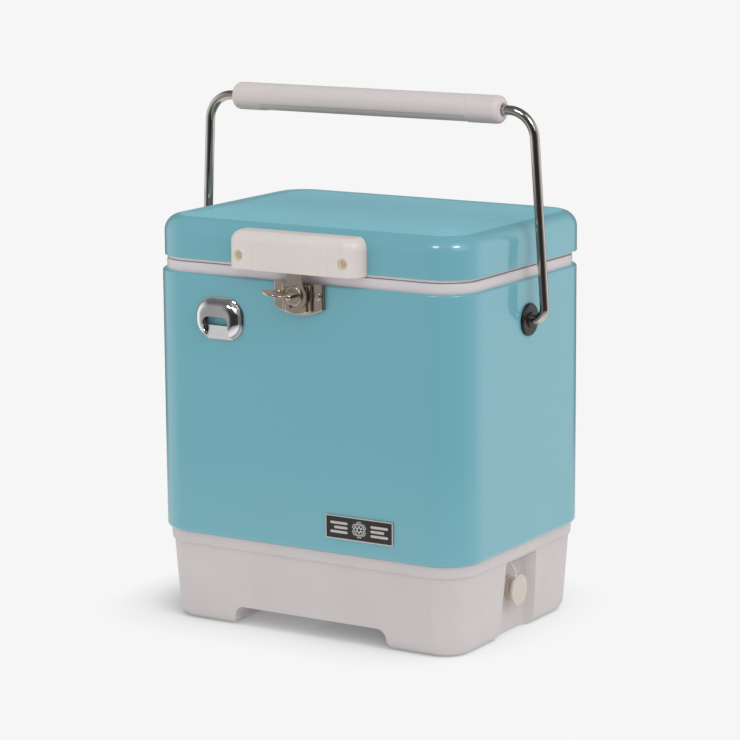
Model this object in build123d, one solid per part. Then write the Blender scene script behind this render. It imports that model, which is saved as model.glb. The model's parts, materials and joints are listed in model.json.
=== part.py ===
from build123d import *

import os
from math import atan2, cos, degrees, radians, sin, sqrt

# Steel-belted picnic cooler with a hinged lid, a swinging bail handle and a drain.
# Frame, in mm: the origin is on the floor under the centre of the body, +Z is up,
# the latch side faces -Y and the drain is on the +X side.

# ---- the body's outline and levels ----
BODY_WIDTH = 370.0
BODY_DEPTH = 268.0
BODY_CORNER = 42.0
JACKET_BOTTOM = 95.0
JACKET_TOP = 366.2
RIM_TOP = 376.7
LID_BOTTOM = 380.2
LID_TOP = 423.7
FRONT = -BODY_DEPTH / 2
BACK = BODY_DEPTH / 2
SIDE = BODY_WIDTH / 2

# ---- sheet steel ----
SHEET = 0.8
JACKET_TOP_ROLL = 2.6
JACKET_BOTTOM_ROLL = 5.0
JACKET_LIP = 7.0
FIT = 0.1

# ---- food liner ----
CAVITY_INSET = 30.0
CAVITY_FLOOR = 54.7
CAVITY_DRAFT = 4.5
CAVITY_FLOOR_ROUND = 12.0
LINER_WALL = 2.5
RIM_INSET = 4.5
RIM_WALL = 3.0

# ---- base tray ----
TRAY_WALL = 3.0
TRAY_BAND_BOTTOM = 83.6
TRAY_BAND_TOP_INSET = 4.0
TRAY_BAND_BOTTOM_INSET = 4.9
TRAY_WALL_INSET = 6.8
TRAY_FOOT_INSET = 13.0
TRAY_FOOT_ROUND = 13.0
TUNNEL_HEIGHT = 21.3
TUNNEL_HALF_TOP = 80.0
TUNNEL_ROUND = 11.0

# ---- drain ----
DRAIN_Z = 45.7
RECESS_TOP = 80.7
RECESS_BACK = 161.0
RECESS_BACK_HALF_TOP = 21.0
RECESS_BACK_HALF_FOOT = 30.0
RECESS_MOUTH_HALF_TOP = 40.0
RECESS_MOUTH_HALF_FOOT = 49.0
RECESS_MOUTH = 192.0
RECESS_ROUND = 9.0
SUMP_HALF = 15.0
SUMP_WALL = SIDE - CAVITY_INSET - CAVITY_DRAFT - 1.0
SUMP_FLOOR = 31.7
SUMP_LENGTH = 30.0
SPOUT_BORE = 6.0
SPOUT_OUTER = 9.0
SPOUT_FLANGE = 13.0
NUT_R = 12.4
NUT_THICK = 4.0
CAP_RADIUS = 16.0
CAP_THICK = 3.2
CAP_FACE = 176.4
CAP_FIT = 0.05
TETHER_WIDTH = 3.4
TETHER_THICK = 1.4
TETHER_KNOB_R = 2.6

# ---- lid ----
LID_INSET = 1.0
LID_SHIFT = 2.5
LID_CORNER = 41.0
LID_FRONT = FRONT + LID_INSET + LID_SHIFT
LID_BACK = BACK - LID_INSET + LID_SHIFT
LID_TOP_ROUND = 17.0
LID_SHEET = 0.8
PANEL_STEP = 2.4
PANEL_INSET = 42.0
PANEL_CORNER = 22.0
LID_LINER_INSET = 5.0
LID_LINER_TOP = 383.2
LID_LINER_BOTTOM = 377.4
PLUG_INSET = 33.0
PLUG_BOTTOM = 364.7
GASKET_WIDTH = 7.0

# ---- rear hinges ----
HINGE_Y = BACK + 5.0
HINGE_Z = 384.7
HINGE_X = 95.0
HINGE_WIDTH = 50.0
KNUCKLE_R = 3.2
PIN_R = 1.6
PIN_FIT = 0.05
LEAF_THICK = 1.5
LEAF_BOTTOM = 346.7
LEAF_BEND = 371.2
LEAF_OUTER = 2.2
LID_LEAF_HEIGHT = 16.0
HINGE_SCREW_X = 15.0
BODY_SCREW_Z = 358.7
LID_SCREW_Z = 397.3
HINGE_SCREW_R = 1.9
HINGE_SCREW_HEAD_R = 3.6
PIN_HEAD_R = 2.4
KNUCKLE_GAP = 0.4

# ---- bail ----
BAIL_PIVOT_Z = 325.2
BAIL_TOP_Z = 533.3
BAIL_LEAN = 1.05
ROD_R = 4.75
BAIL_FOOT_HALF = 204.1
BAIL_TOP_HALF = 191.6
ELBOW_R = 13.0
TOP_BEND_R = 28.5
ROD_END = 165.0
GRIP_HALF = 158.5
GRIP_R = 14.15
GRIP_END_ROUND = 6.8
GRIP_UNDER_R = 13.5
GRIP_UNDER_DROP = 6.6
GRIP_UNDER_HALF = 121.0
GRIP_SOCKET_R = 5.8
GRIP_SOCKET_DEPTH = 1.6
GRIP_RING_X = 123.0
GRIP_RING_R = 13.7
GRIP_RING_WIDTH = 0.7
GRIP_FIT = 0.05
GROMMET_FLANGE_R = 16.5
GROMMET_HUB_R = 9.95
GROMMET_FIT = 0.05
GROMMET_PROUD = 3.2
BOSS_R = 8.0
BOSS_PROUD = 4.8
RETAINER_R = 8.2
RETAINER_THICK = 1.4
HOUSING_R = 13.0
HOUSING_END = 161.0

# ---- front handle tab on the lid ----
TAB_HALF = 76.8
TAB_BOTTOM = 378.2
TAB_TOP = 416.1
TAB_PROUD = 20.5
TAB_OVERLAP = 8.0
TAB_END_R = 17.0
TAB_EDGE = 12.0
TAB_SCREW_X = 61.0
TAB_SCREW_Z = 391.7
TAB_HOLE_R = 5.5
TAB_SEAT = 4.0
TAB_SCREW_R = 2.0
TAB_SCREW_REACH = 14.0
TAB_SCREW_HEAD_R = 4.2
TAB_SCREW_HEAD_HEIGHT = 2.2
PAD_HALF = 43.8
PAD_TOP = 404.7
PAD_RAISE = 1.0
PAD_CORNER = 8.0

# ---- latch ----
LATCH_X = 2.0
LATCH_Z = 355.2
PLATE_HALF = 28.8
PLATE_TOP = 367.3
PLATE_BOTTOM = 334.7
PLATE_PROUD = 4.8
PLATE_WALL = 1.4
RIVET_X = 23.4
RIVET_R = 2.0
RIVET_HEAD_R = 3.8
RIVET_HEAD_HEIGHT = 2.0
SHOULDER_HALF = 18.0
SHOULDER_PROUD = 7.6
HOUSING_HALF = 14.0
HOUSING_PROUD = 9.5
STRAP_BACK = 10.6
STRAP_THICK = 1.6
STRAP_TOP_HALF = 8.5
STRAP_END_R = 14.0
STRAP_SHOULDER = 17.0
STRAP_SLOT_HALF = 5.6
STRAP_LEAF_HALF = 29.0
STRAP_LEAF_TOP = 21.0
STRAP_LEAF_THICK = 1.5
ROTOR_GAP = 0.3
ROTOR_R = 9.6
ROTOR_THICK = 2.2
STEM_R = 4.5
WING_X = -15.3
WING_Y = -158.5
WING_HALF_LONG = 13.5
WING_HALF_DEEP = 10.0
WING_THICK = 2.6
WING_TILT = 10.0
WING_HUB_R = 3.2

# ---- bottle opener ----
OPENER_X = -94.4
OPENER_Z = 322.7
OPENER_HALF_W = 28.5
OPENER_HALF_H = 22.2
OPENER_CORNER = 20.0
OPENER_FLANGE = 1.4
OPENER_STEP = 1.5
OPENER_PROUD = 10.8
OPENER_DOME_ROUND = 10.2
OPENER_WALL = 2.0
MOUTH_HALF = 15.2
MOUTH_HEIGHT = 40.0
MOUTH_CORNER = 7.0
MOUTH_TOP = 3.0
LIP_ROOT = -15.0
LIP_TOP = -6.6
LIP_PROUD = 4.6
LIP_THICK = 1.8
OPENER_SCREW_R = 2.0
OPENER_SCREW_HEAD_R = 3.6
OPENER_SCREW_HEAD_HEIGHT = 2.0
OPENER_SCREW_X = 12.0
OPENER_SCREW_RISE = 9.0

# ---- nameplate ----
BADGE_X = 68.5
BADGE_Z = 123.9
BADGE_WIDTH = 78.5
BADGE_HEIGHT = 24.2
BADGE_THICK = 1.6
BADGE_FLOOR = 0.9
BADGE_BORDER = 1.2


def slab(inset, z_low, z_high, corner):
    """Upright block with round corners, drawn in by inset from the body's outline."""
    plan = RectangleRounded(BODY_WIDTH - 2 * inset, BODY_DEPTH - 2 * inset, corner)
    return Pos(0, 0, z_low) * extrude(plan, z_high - z_low)


def body_slab(inset, z_low, z_high):
    return slab(inset, z_low, z_high, BODY_CORNER - inset)


def drafted(inset_low, z_low, inset_high, z_high, corner=BODY_CORNER):
    """Upright block whose walls lean evenly from one inset to the other."""
    sections = []
    for inset, z in ((inset_low, z_low), (inset_high, z_high)):
        plan = RectangleRounded(BODY_WIDTH - 2 * inset, BODY_DEPTH - 2 * inset, corner - inset)
        sections.append(Pos(0, 0, z) * plan)
    return loft(sections, ruled=True)


def end_edges(solid, side):
    """The edges around the lowest (side 0) or highest (side -1) face."""
    return solid.faces().sort_by(Axis.Z)[side].edges()


def peg(radius, start, end, x=0.0, y=0.0, z=0.0, along="x"):
    """Round bar along one axis between two stations."""
    bar = extrude(Circle(radius), end - start)
    if along == "x":
        return Pos(start, y, z) * Rot(0, 90, 0) * bar
    if along == "y":
        return Pos(x, start, z) * Rot(-90, 0, 0) * bar
    return Pos(x, y, start) * bar


def block(x_low, x_high, y_low, y_high, z_low, z_high):
    size = Box(x_high - x_low, y_high - y_low, z_high - z_low)
    return Pos((x_low + x_high) / 2, (y_low + y_high) / 2, (z_low + z_high) / 2) * size


def both_sides(solid):
    """The solid and its mirror image across the middle of the body."""
    return [solid, mirror(solid, about=Plane.YZ)]


# ---------------------------------------------------------------- body
def cavity(growth):
    """The food space, grown by growth: tapered walls, rounded floor and the drain sump."""
    inset = CAVITY_INSET - growth
    floor = CAVITY_FLOOR - growth
    space = drafted(inset + CAVITY_DRAFT, floor, inset, RIM_TOP + 1)
    space = fillet(end_edges(space, 0), CAVITY_FLOOR_ROUND)
    wall = SUMP_WALL + growth
    half = SUMP_HALF + growth
    sump = block(wall - SUMP_LENGTH - 2 * growth, wall, -half, half, SUMP_FLOOR - growth, floor + 20)
    return space + sump


def tunnel(growth):
    """Passage from front to back between the feet, its S-shaped sides made of two arcs each."""
    rise = 2 * TUNNEL_ROUND - TUNNEL_HEIGHT
    spread = sqrt(4 * TUNNEL_ROUND**2 - rise**2)
    foot = Vector(TUNNEL_HALF_TOP + spread, TUNNEL_ROUND)
    roof = Vector(TUNNEL_HALF_TOP, TUNNEL_HEIGHT - TUNNEL_ROUND)
    turn = degrees(atan2(foot.Y - roof.Y, foot.X - roof.X))
    roof_arc = CenterArc(roof, TUNNEL_ROUND + growth, 90, turn - 90)
    foot_arc = CenterArc(foot, TUNNEL_ROUND - growth, 180 + turn, 90 - turn)
    below = -TUNNEL_ROUND
    half = [
        Line((0, TUNNEL_HEIGHT + growth), roof_arc @ 0),
        roof_arc,
        foot_arc,
        Polyline(foot_arc @ 1, (foot.X, below), (0, below)),
        Line((0, below), (0, TUNNEL_HEIGHT + growth)),
    ]
    profile = Plane.XZ * make_face(Curve() + half)
    passage = extrude(profile, BODY_DEPTH, both=True)
    return passage + mirror(passage, about=Plane.YZ)


def drain_recess(growth):
    """Flared bay in the tray's right side, open at the floor, that the drain cap stands in."""
    sections = []
    levels = (
        (-TRAY_WALL, RECESS_BACK_HALF_FOOT, RECESS_MOUTH_HALF_FOOT),
        (RECESS_TOP + growth, RECESS_BACK_HALF_TOP, RECESS_MOUTH_HALF_TOP),
    )
    for z, back_half, mouth_half in levels:
        back = RECESS_BACK - growth
        corners = [
            (back, -back_half - growth),
            (RECESS_MOUTH, -mouth_half - growth),
            (RECESS_MOUTH, mouth_half + growth),
            (back, back_half + growth),
        ]
        sections.append(Pos(0, 0, z) * make_face(Polyline(*corners, close=True)))
    bay = loft(sections, ruled=True)
    upright = bay.edges().filter_by(lambda e: abs(e.center().Z - RECESS_TOP / 2) < RECESS_TOP / 4)
    return fillet(upright.sort_by(Axis.X)[:2], RECESS_ROUND)


def tray_form(growth):
    """The tray's outer form drawn in by growth, with the tunnel and the drain bay cut out."""
    wall = drafted(TRAY_FOOT_INSET + growth, growth, TRAY_WALL_INSET + growth, TRAY_BAND_BOTTOM)
    wall = fillet(end_edges(wall, 0), TRAY_FOOT_ROUND - growth)
    band = drafted(
        TRAY_BAND_BOTTOM_INSET + growth, TRAY_BAND_BOTTOM, TRAY_BAND_TOP_INSET + growth, JACKET_BOTTOM
    )
    return wall + band - tunnel(growth) - drain_recess(growth)


def base_tray():
    """Open-topped tray that the body stands in."""
    return tray_form(0) - tray_form(TRAY_WALL) - peg(SPOUT_OUTER, 140, SIDE, z=DRAIN_Z)


def wall_holes():
    """Everything that passes through the jacket and the foam behind it."""
    holes = both_sides(peg(HOUSING_R, HOUSING_END, SIDE + 1, z=BAIL_PIVOT_Z))
    holes += rivets(0)
    holes += opener_pegs(0)
    holes += hinge_screw_pegs(0)
    return holes


def steel_jacket():
    outer = body_slab(0, JACKET_BOTTOM, JACKET_TOP)
    outer = fillet(end_edges(outer, -1), JACKET_TOP_ROLL)
    outer = fillet(end_edges(outer, 0), JACKET_BOTTOM_ROLL)
    inner = body_slab(SHEET, JACKET_BOTTOM + SHEET, JACKET_TOP - SHEET)
    inner = fillet(end_edges(inner, -1), JACKET_TOP_ROLL - SHEET)
    inner = fillet(end_edges(inner, 0), JACKET_BOTTOM_ROLL - SHEET)
    opening = body_slab(JACKET_LIP, JACKET_BOTTOM - 1, JACKET_TOP + 1)
    shell = outer - inner - opening
    for hole in wall_holes():
        shell -= hole
    return shell


def inner_liner():
    rim = body_slab(RIM_INSET, JACKET_TOP, RIM_TOP)
    rim = fillet(end_edges(rim, -1), 1.5)
    rim_hollow = body_slab(RIM_INSET + RIM_WALL, JACKET_TOP - 1, RIM_TOP - RIM_WALL)
    tub = cavity(LINER_WALL) & body_slab(0, 0, RIM_TOP - 1)
    return (rim - rim_hollow) + tub - cavity(0) - peg(SPOUT_OUTER, 120, SIDE, z=DRAIN_Z)


def body_foam():
    """Foamed-in-place insulation between the jacket and the liner, down into the tray."""
    upper_inset = JACKET_LIP + FIT
    side = body_slab(
        SHEET + FIT, JACKET_BOTTOM + JACKET_BOTTOM_ROLL + FIT, JACKET_TOP - JACKET_TOP_ROLL - FIT
    )
    neck = body_slab(upper_inset, JACKET_BOTTOM - 1, RIM_TOP - RIM_WALL - FIT)
    neck = neck & body_slab(RIM_INSET + RIM_WALL + FIT, 0, RIM_TOP)
    foot = tray_form(TRAY_WALL + FIT)
    core = side + neck + foot - cavity(LINER_WALL + FIT)
    core -= peg(SPOUT_OUTER + FIT, 120, SIDE, z=DRAIN_Z)
    for hole in wall_holes():
        core -= hole
    return core


def grommet_seat():
    """Moulded cup in the wall that the bail's pivot turns in."""
    cup = peg(HOUSING_R - FIT, HOUSING_END + FIT, SIDE - SHEET, z=BAIL_PIVOT_Z)
    mouth = peg(GROMMET_HUB_R + GROMMET_FIT, HOUSING_END + 2, SIDE, z=BAIL_PIVOT_Z)
    collar = peg(HOUSING_R - FIT, SIDE - SHEET, SIDE - FIT, z=BAIL_PIVOT_Z)
    return cup + collar - mouth


# ---------------------------------------------------------------- drain
def drain_spout():
    """Threaded spout from the sump through the tray wall, with a flange outside."""
    inside = SUMP_WALL - 6
    tube = peg(SPOUT_OUTER - FIT, inside, RECESS_BACK + 7, z=DRAIN_Z)
    flange = peg(SPOUT_FLANGE, RECESS_BACK + FIT, RECESS_BACK + 3, z=DRAIN_Z)
    bore = peg(SPOUT_BORE, inside - 1, SIDE, z=DRAIN_Z)
    return tube + flange - bore


def drain_nut():
    """Hexagonal nut on the spout, inside the sump."""
    nut = extrude(RegularPolygon(NUT_R, 6), NUT_THICK)
    nut = Pos(SUMP_WALL - FIT - NUT_THICK, 0, DRAIN_Z) * Rot(0, 90, 0) * nut
    return nut - peg(SPOUT_OUTER - FIT / 2, SUMP_WALL - 10, SUMP_WALL + 10, z=DRAIN_Z)


def drain_cap():
    """Push-in cap: round head, grip lip around its edge and a hollow plug."""
    head = peg(CAP_RADIUS, CAP_FACE - CAP_THICK, CAP_FACE, z=DRAIN_Z)
    head = fillet(head.faces().sort_by(Axis.X)[-1].edges(), 1.2)
    plug = peg(SPOUT_BORE - CAP_FIT, RECESS_BACK - 6, CAP_FACE - 1, z=DRAIN_Z)
    hollow = peg(SPOUT_BORE - 2, RECESS_BACK - 7, CAP_FACE - CAP_THICK, z=DRAIN_Z)
    return head + plug - hollow


def drain_tether():
    """Thin strap from the top of the bay down to the cap, ending just short of its edge."""
    top = (RECESS_BACK + 9, -10, RECESS_TOP - 2)
    bottom = (CAP_FACE - 2, -7.5, DRAIN_Z + CAP_RADIUS + 0.4)
    path = Line(top, bottom)
    outline = RectangleRounded(TETHER_WIDTH, TETHER_THICK, 0.6)
    section = Plane(origin=top, z_dir=path % 0, x_dir=(0, 1, 0)) * outline
    strap = sweep(section, path)
    anchor = Pos(*top) * Sphere(TETHER_KNOB_R)
    return strap + anchor - drain_bay_roof()


def drain_bay_roof():
    return block(150, 190, -30, 30, RECESS_TOP - FIT, RECESS_TOP + 10)


# ---------------------------------------------------------------- lid
def lid_form(growth):
    """The lid pan's outer form drawn in by growth: its top slopes gently up to a flat panel."""
    inset = LID_INSET + growth
    shoulder = LID_TOP - PANEL_STEP - growth
    form = slab(inset, LID_BOTTOM, shoulder, LID_CORNER - growth)
    form = fillet(end_edges(form, -1), LID_TOP_ROUND - growth)
    edge = LID_INSET + LID_TOP_ROUND
    low = RectangleRounded(BODY_WIDTH - 2 * edge, BODY_DEPTH - 2 * edge, LID_CORNER - LID_TOP_ROUND)
    high = RectangleRounded(BODY_WIDTH - 2 * PANEL_INSET, BODY_DEPTH - 2 * PANEL_INSET, PANEL_CORNER)
    panel = loft([Pos(0, 0, shoulder) * low, Pos(0, 0, LID_TOP - growth) * high], ruled=True)
    return Pos(0, LID_SHIFT, 0) * (form + panel)


def lid_pan():
    hollow = lid_form(LID_SHEET)
    below = slab(LID_INSET + LID_SHEET, LID_BOTTOM - 1, LID_BOTTOM + 1, LID_CORNER - LID_SHEET)
    shell = lid_form(0) - hollow - Pos(0, LID_SHIFT, 0) * below
    for hole in tab_screw_pegs(0) + lid_hinge_screw_pegs(0):
        shell -= hole
    return shell


def lid_liner():
    """Inner lid panel: flange that meets the body's rim and a shallow plug."""
    flange = body_slab(LID_LINER_INSET, LID_LINER_BOTTOM, LID_LINER_TOP)
    flange = fillet(end_edges(flange, 0), 0.8)
    plug = drafted(PLUG_INSET + 1.5, PLUG_BOTTOM, PLUG_INSET, LID_LINER_BOTTOM + 1)
    plug = fillet(end_edges(plug, 0), 5)
    inside = body_slab(LID_LINER_INSET + LINER_WALL, LID_LINER_BOTTOM + LINER_WALL, LID_LINER_TOP + 1)
    plug_inside = drafted(
        PLUG_INSET + 1.5 + LINER_WALL, PLUG_BOTTOM + LINER_WALL, PLUG_INSET + LINER_WALL, LID_BOTTOM
    )
    return flange + plug - inside - plug_inside - gasket_form(FIT)


def gasket_form(growth):
    """Ring that closes the gap between the lid and the rim."""
    middle = (RIM_INSET + CAVITY_INSET) / 2
    half = GASKET_WIDTH / 2 + growth
    ring = body_slab(middle - half, RIM_TOP + 0.1, LID_LINER_BOTTOM + 1.4 + growth)
    return ring - body_slab(middle + half, RIM_TOP, LID_LINER_BOTTOM + 2)


def lid_foam():
    above_liner = block(-SIDE, SIDE, 2 * FRONT, 2 * BACK, LID_LINER_TOP + FIT, LID_TOP)
    upper = lid_form(LID_SHEET + FIT) & above_liner
    lower = body_slab(
        LID_LINER_INSET + LINER_WALL + FIT, LID_LINER_BOTTOM + LINER_WALL + FIT, LID_LINER_TOP + 1
    )
    plug = drafted(
        PLUG_INSET + 1.6 + LINER_WALL,
        PLUG_BOTTOM + LINER_WALL + FIT,
        PLUG_INSET + FIT + LINER_WALL,
        LID_BOTTOM,
    )
    foam = upper + lower + plug
    for hole in tab_screw_pegs(0) + lid_hinge_screw_pegs(0):
        foam -= hole
    return foam


def lid_handle():
    """Moulded pull tab on the lid's front: round ends, a raised pad and deep screw recesses."""
    face = LID_FRONT - TAB_PROUD
    plan = RectangleRounded(2 * TAB_HALF, 2 * TAB_PROUD, TAB_END_R)
    tab = Pos(0, LID_FRONT, TAB_BOTTOM) * extrude(plan, TAB_TOP - TAB_BOTTOM)
    tab = tab & block(-TAB_HALF, TAB_HALF, face, LID_FRONT, TAB_BOTTOM, TAB_TOP)
    tab += block(-TAB_HALF, TAB_HALF, LID_FRONT, LID_FRONT + TAB_OVERLAP, LID_BOTTOM + 1, TAB_TOP)
    rim = end_edges(tab, -1)
    tab = fillet(rim.sort_by(Axis.Y)[:-1], TAB_EDGE)
    tab = tab + tab_pad(face) - lid_form(0)
    for side in (-1, 1):
        x = side * TAB_SCREW_X
        tab -= peg(TAB_HOLE_R, face - 1, LID_FRONT - TAB_SEAT, x=x, z=TAB_SCREW_Z, along="y")
        tab -= peg(TAB_SCREW_R + FIT, face, LID_FRONT + 1, x=x, z=TAB_SCREW_Z, along="y")
    reach = STRAP_BACK + STRAP_THICK
    low = LATCH_X - STRAP_TOP_HALF - FIT
    high = LATCH_X + STRAP_TOP_HALF + FIT
    tab -= block(low, high, FRONT - reach - FIT, LID_FRONT, TAB_BOTTOM - 1, TAB_BOTTOM + 2.1)
    half = STRAP_LEAF_HALF + 1.1
    back = LID_FRONT - STRAP_LEAF_THICK - 0.2
    tab -= block(-half, half, back, LID_FRONT, TAB_BOTTOM - 1, TAB_BOTTOM + STRAP_LEAF_TOP + 1)
    return tab


def tab_pad(face):
    """Low raised pad on the middle of the tab's face, open at the tab's lower edge."""
    height = PAD_TOP - TAB_BOTTOM
    outline = RectangleRounded(2 * PAD_HALF, 2 * height, PAD_CORNER)
    pad = Pos(0, face, TAB_BOTTOM) * Rot(90, 0, 0) * extrude(outline, PAD_RAISE)
    pad = chamfer(pad.faces().sort_by(Axis.Y)[0].edges(), PAD_RAISE - 0.1)
    return pad & block(-PAD_HALF, PAD_HALF, face - PAD_RAISE, face, TAB_BOTTOM, PAD_TOP)


def tab_screw_pegs(slack):
    """Shanks of the two screws through the tab, thinner than their holes by slack."""
    pegs = []
    for side in (-1, 1):
        x = side * TAB_SCREW_X
        far = LID_FRONT + TAB_SCREW_REACH
        pegs.append(peg(TAB_SCREW_R - slack, LID_FRONT - TAB_SEAT, far, x=x, z=TAB_SCREW_Z, along="y"))
    return pegs


def handle_screws():
    """Round-headed screws at the bottom of the tab's recesses."""
    seat = LID_FRONT - TAB_SEAT
    screws = []
    for side, shank in zip((-1, 1), tab_screw_pegs(0.02)):
        x = side * TAB_SCREW_X
        head = peg(TAB_SCREW_HEAD_R, seat - TAB_SCREW_HEAD_HEIGHT, seat, x=x, z=TAB_SCREW_Z, along="y")
        slot = block(x - 3, x + 3, seat - 3, seat - 1.4, TAB_SCREW_Z - 0.5, TAB_SCREW_Z + 0.5)
        cross = block(x - 0.5, x + 0.5, seat - 3, seat - 1.4, TAB_SCREW_Z - 3, TAB_SCREW_Z + 3)
        screws.append(head + shank - slot - cross)
    return screws


# ---------------------------------------------------------------- rear hinges
def knuckle(x_low, x_high):
    barrel = peg(KNUCKLE_R, x_low, x_high, y=HINGE_Y, z=HINGE_Z)
    return barrel - peg(PIN_R + PIN_FIT, x_low - 1, x_high + 1, y=HINGE_Y, z=HINGE_Z)


def pin_bore(middle):
    half = HINGE_WIDTH / 2 + 1
    return peg(PIN_R + PIN_FIT, middle - half, middle + half, y=HINGE_Y, z=HINGE_Z)


def body_leaf(middle):
    """Leaf on the jacket's back, cranked out past the lid's edge to the two outer knuckles."""
    low = middle - HINGE_WIDTH / 2
    high = middle + HINGE_WIDTH / 2
    third = HINGE_WIDTH / 3
    near = BACK + 0.02
    far = BACK + LEAF_THICK
    crank = LEAF_OUTER
    section = Polyline(
        (near, LEAF_BOTTOM), (far, LEAF_BOTTOM), (far, LEAF_BEND), (far + crank, LEAF_BEND + 5),
        (far + crank, HINGE_Z), (near + crank, HINGE_Z), (near + crank, LEAF_BEND + 5.5),
        (near, LEAF_BEND + 0.5), close=True
    )
    leaf = Pos(low, 0, 0) * extrude(Plane.YZ * make_face(section), HINGE_WIDTH)
    clear = KNUCKLE_R + KNUCKLE_GAP
    gap_low = low + third - KNUCKLE_GAP
    gap_high = high - third + KNUCKLE_GAP
    leaf -= block(gap_low, gap_high, BACK - 1, BACK + 9, HINGE_Z - clear, HINGE_Z + 1)
    leaf = leaf + knuckle(low, gap_low) + knuckle(gap_high, high)
    leaf -= pin_bore(middle)
    for hole in body_leaf_holes(middle, HINGE_SCREW_R):
        leaf -= hole
    return leaf


def lid_leaf(middle):
    """Leaf on the lid's back with the middle knuckle."""
    low = middle - HINGE_WIDTH / 2
    high = middle + HINGE_WIDTH / 2
    third = HINGE_WIDTH / 3
    near = LID_BACK + 0.02
    far = LID_BACK + LEAF_THICK
    raised = HINGE_Z + KNUCKLE_R + KNUCKLE_GAP
    leaf = block(low, high, near, far, raised, raised + LID_LEAF_HEIGHT)
    web = block(low + third, high - third, near, far, HINGE_Z, raised + 1)
    leaf = leaf + web + knuckle(low + third, high - third)
    leaf -= pin_bore(middle)
    for hole in lid_leaf_holes(middle, HINGE_SCREW_R):
        leaf -= hole
    return leaf


def body_leaf_holes(middle, radius):
    return screw_row(middle, radius, BACK, BODY_SCREW_Z)


def lid_leaf_holes(middle, radius):
    return screw_row(middle, radius, LID_BACK, LID_SCREW_Z)


def screw_row(middle, radius, wall, z):
    """Two round holes side by side through a back wall."""
    spots = (middle - HINGE_SCREW_X, middle + HINGE_SCREW_X)
    return [peg(radius, wall - 13, wall + 6, x=x, z=z, along="y") for x in spots]


def hinge_screw_pegs(slack):
    return [hole for side in (-1, 1) for hole in body_leaf_holes(side * HINGE_X, HINGE_SCREW_R - slack)]


def lid_hinge_screw_pegs(slack):
    return [hole for side in (-1, 1) for hole in lid_leaf_holes(side * HINGE_X, HINGE_SCREW_R - slack)]


def hinge_screws(pegs, wall):
    """Pan-headed screws through one pair of leaves."""
    screws = []
    outer = wall + LEAF_THICK
    for shank in pegs:
        centre = shank.center()
        shank = shank & block(-SIDE, SIDE, 0, outer + 0.5, 0, LID_TOP)
        head = peg(HINGE_SCREW_HEAD_R, outer + 0.02, outer + 1.9, x=centre.X, z=centre.Z, along="y")
        head = fillet(head.faces().sort_by(Axis.Y)[-1].edges(), 1.0)
        slot = block(centre.X - 4, centre.X + 4, outer + 1.2, outer + 3, centre.Z - 0.5, centre.Z + 0.5)
        screws.append(shank + head - slot)
    return screws


def hinge_pin(middle):
    half = HINGE_WIDTH / 2
    pin = peg(PIN_R, middle - half - 0.6, middle + half + 0.6, y=HINGE_Y, z=HINGE_Z)
    heads = [
        peg(PIN_HEAD_R, middle - half - 1.6, middle - half - 0.4, y=HINGE_Y, z=HINGE_Z),
        peg(PIN_HEAD_R, middle + half + 0.4, middle + half + 1.6, y=HINGE_Y, z=HINGE_Z),
    ]
    return pin + heads[0] + heads[1]


# ---------------------------------------------------------------- bail
def bail_rod():
    """One bent rod: pivot stub, elbow, leaning leg and top bend on each side."""
    points = [
        (ROD_END, BAIL_PIVOT_Z),
        (BAIL_FOOT_HALF, BAIL_PIVOT_Z),
        (BAIL_TOP_HALF, BAIL_TOP_Z),
    ]
    elbow_in, elbow_out, elbow_mid = bend(points[0], points[1], points[2], ELBOW_R)
    top_in, top_out, top_mid = bend(points[1], points[2], (0, BAIL_TOP_Z), TOP_BEND_R)
    right = [
        Line(points[0], elbow_in),
        ThreePointArc(elbow_in, elbow_mid, elbow_out),
        Line(elbow_out, top_in),
        ThreePointArc(top_in, top_mid, top_out),
        Line(top_out, (0, BAIL_TOP_Z)),
    ]
    half_path = Plane.XZ * (Curve() + right)
    start = Plane(origin=(ROD_END, 0, BAIL_PIVOT_Z), z_dir=(1, 0, 0))
    half_rod = sweep(start * Circle(ROD_R), Wire(half_path.edges()))
    return leaned(half_rod + mirror(half_rod, about=Plane.YZ))


def leaned(solid):
    """The solid tipped about the bail's pivots to where the standing bail rests."""
    return Pos(0, 0, BAIL_PIVOT_Z) * Rot(BAIL_LEAN, 0, 0) * Pos(0, 0, -BAIL_PIVOT_Z) * solid


def bend(before, corner, after, radius):
    """Start, end and middle of the arc that rounds a corner of a path."""
    a = Vector(before[0] - corner[0], before[1] - corner[1]).normalized()
    b = Vector(after[0] - corner[0], after[1] - corner[1]).normalized()
    half_angle = radians(a.get_angle(b)) / 2
    setback = radius * cos(half_angle) / sin(half_angle)
    centre_line = (a + b).normalized()
    reach = radius / sin(half_angle) - radius
    tip = Vector(corner[0], corner[1])
    return tip + a * setback, tip + b * setback, tip + centre_line * reach


def rod_retainer():
    """Push-on clip at the rod's inner end, behind the pivot bush."""
    ring = peg(RETAINER_R, ROD_END + 1, ROD_END + 1 + RETAINER_THICK, z=BAIL_PIVOT_Z)
    return ring - peg(ROD_R + 0.01, ROD_END, ROD_END + 4, z=BAIL_PIVOT_Z)


def pivot_bush():
    """Black bush with a round flange outside, free to turn on the rod and in its seat."""
    hub = peg(GROMMET_HUB_R, ROD_END + 3.4, SIDE + FIT, z=BAIL_PIVOT_Z)
    flange = peg(GROMMET_FLANGE_R, SIDE + FIT, SIDE + GROMMET_PROUD, z=BAIL_PIVOT_Z)
    flange = fillet(flange.faces().sort_by(Axis.X)[-1].edges(), 1.6)
    boss = peg(BOSS_R, SIDE + 1, SIDE + BOSS_PROUD, z=BAIL_PIVOT_Z)
    boss = fillet(boss.faces().sort_by(Axis.X)[-1].edges(), 1.0)
    bore = peg(ROD_R + GROMMET_FIT, ROD_END, SIDE + 10, z=BAIL_PIVOT_Z)
    return hub + flange + boss - bore


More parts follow.
